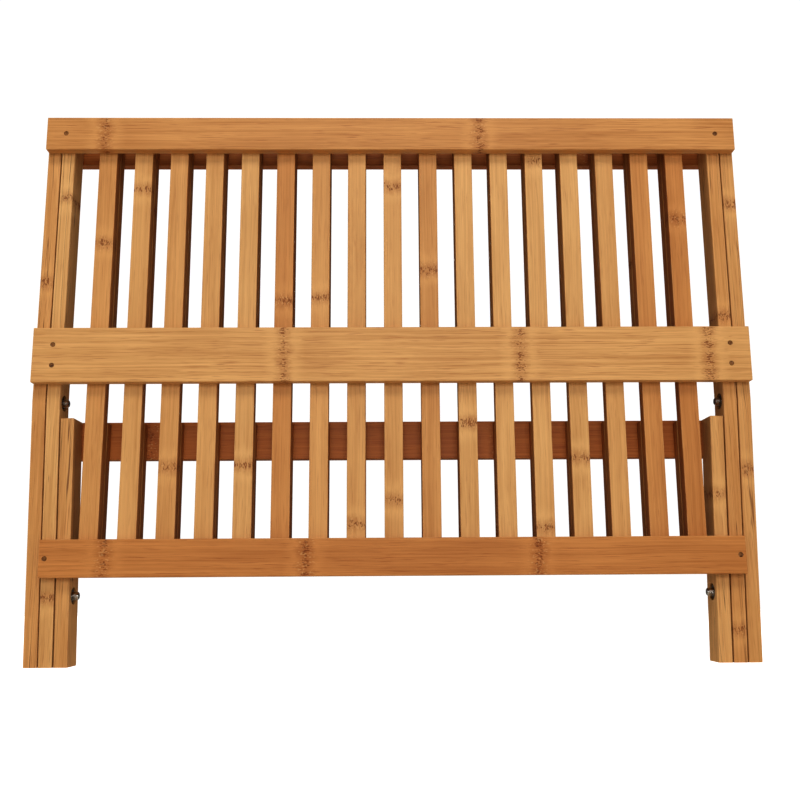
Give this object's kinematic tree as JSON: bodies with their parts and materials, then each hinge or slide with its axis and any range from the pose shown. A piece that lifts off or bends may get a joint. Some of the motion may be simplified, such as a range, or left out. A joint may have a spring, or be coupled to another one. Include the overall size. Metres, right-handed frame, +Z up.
{
  "type": "folding dish drying rack",
  "caption": "Folding two-tier bamboo dish rack: a slatted main frame with a full-height cross frame and a short shelf frame that swing back on bolts and stop against its rails.",
  "frame": {"origin": "middle of the folded rack's width and depth, on the plane that its feet stand on", "axes": "+Z up the legs, +X to the right seen from the side of the main frame's rails, which face -Y; the folded rack is joint value 0"},
  "size_m": [0.4652, 0.0324, 0.3595],
  "materials": {
    "bamboo_rails": "satin oiled bamboo, light tan",
    "bamboo_slats": "satin oiled bamboo, honey",
    "bamboo_legs": "satin oiled bamboo, honey",
    "bolt_steel": "bright zinc-plated steel",
    "dark_steel": "dark oiled steel"
  },
  "bodies": {
    "main_frame": {"main_leg_left": "bamboo_legs", "main_leg_right": "bamboo_legs", "main_slat_01": "bamboo_slats", "main_slat_02": "bamboo_slats", "main_slat_03": "bamboo_slats", "main_slat_04": "bamboo_slats", "main_slat_05": "bamboo_slats", "main_slat_06": "bamboo_slats", "main_slat_07": "bamboo_slats", "main_slat_08": "bamboo_slats", "main_slat_09": "bamboo_slats", "main_slat_10": "bamboo_slats", "main_slat_11": "bamboo_slats", "main_slat_12": "bamboo_slats", "main_slat_13": "bamboo_slats", "main_slat_14": "bamboo_slats", "main_slat_15": "bamboo_slats", "main_slat_16": "bamboo_slats", "main_slat_17": "bamboo_slats", "top_rail": "bamboo_rails", "middle_rail": "bamboo_rails", "bottom_rail": "bamboo_rails", "front_rail_nails": "dark_steel", "pivot_bolts": "bolt_steel", "pivot_washers": "dark_steel", "pivot_nuts": "dark_steel"},
    "cross_frame": {"cross_leg_left": "bamboo_legs", "cross_leg_right": "bamboo_legs", "cross_slat_01": "bamboo_slats", "cross_slat_02": "bamboo_slats", "cross_slat_03": "bamboo_slats", "cross_slat_04": "bamboo_slats", "cross_slat_05": "bamboo_slats", "cross_slat_06": "bamboo_slats", "cross_slat_07": "bamboo_slats", "cross_slat_08": "bamboo_slats", "cross_slat_09": "bamboo_slats", "cross_slat_10": "bamboo_slats", "cross_slat_11": "bamboo_slats", "cross_slat_12": "bamboo_slats", "cross_slat_13": "bamboo_slats", "cross_slat_14": "bamboo_slats", "cross_slat_15": "bamboo_slats", "cross_slat_16": "bamboo_slats", "cross_slat_17": "bamboo_slats", "cross_top_rail": "bamboo_rails", "cross_lower_rail": "bamboo_rails", "cross_rail_nails": "dark_steel"},
    "shelf_frame": {"shelf_leg_left": "bamboo_legs", "shelf_leg_right": "bamboo_legs", "shelf_slats": "bamboo_slats", "shelf_top_rail": "bamboo_rails", "shelf_lower_rail": "bamboo_rails", "shelf_rail_nails": "dark_steel"}
  },
  "joints": [
    {"name": "cross_frame_pivot", "type": "hinge", "parent": "main_frame", "child": "cross_frame", "pos_m": [0, 0, 0.166], "axis": [-1, 0, 0], "range_deg": [0, 95]},
    {"name": "shelf_frame_pivot", "type": "hinge", "parent": "main_frame", "child": "shelf_frame", "pos_m": [0, 0, 0.043], "axis": [-1, 0, 0], "range_deg": [0, 95]}
  ]
}
